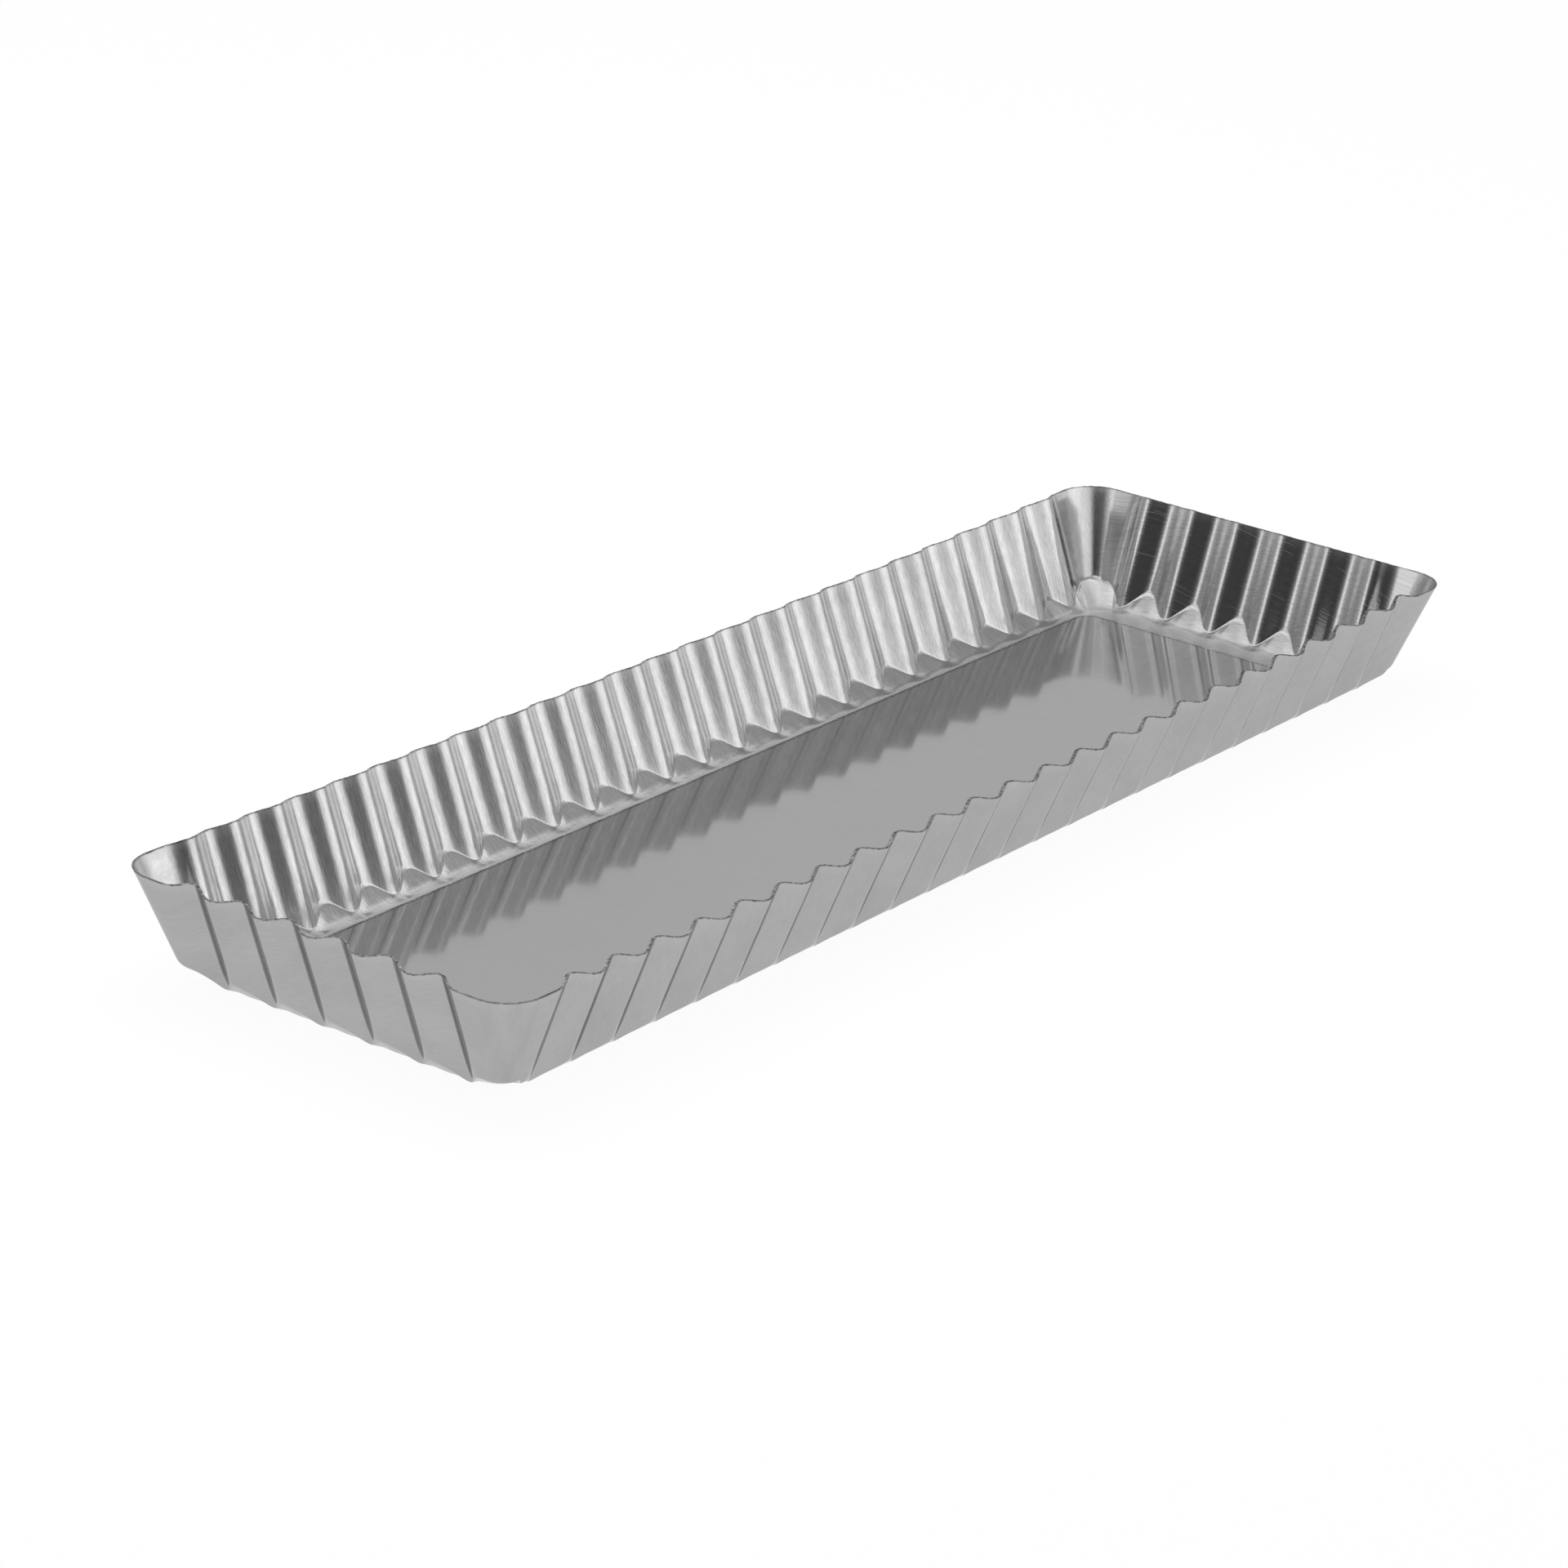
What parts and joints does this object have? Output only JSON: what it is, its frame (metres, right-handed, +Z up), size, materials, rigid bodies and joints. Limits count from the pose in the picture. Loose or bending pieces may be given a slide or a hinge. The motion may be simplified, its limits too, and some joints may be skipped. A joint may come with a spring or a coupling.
{
  "type": "rectangular tart pan",
  "caption": "Long rectangular baking tin with flared fluted walls and a loose flat base that pushes up out of the frame.",
  "frame": {"origin": "middle of the underside, on the surface that the tin stands on", "axes": "+X along the length, +Y across the width, +Z up through the open top"},
  "size_m": [0.35, 0.1102, 0.0276],
  "materials": {
    "frame_tinplate": "bright tinplate, drawn with fine streaks along the flutes, raw cut rim",
    "base_tinplate": "bright flat tinplate, faintly scuffed"
  },
  "bodies": {
    "frame": {"fluted_frame": "frame_tinplate"},
    "base": {"loose_base": "base_tinplate"}
  },
  "joints": [
    {"name": "base_lift", "type": "slide", "parent": "frame", "child": "base", "axis": [0, 0, 1], "range_m": [0, 0.06]}
  ]
}
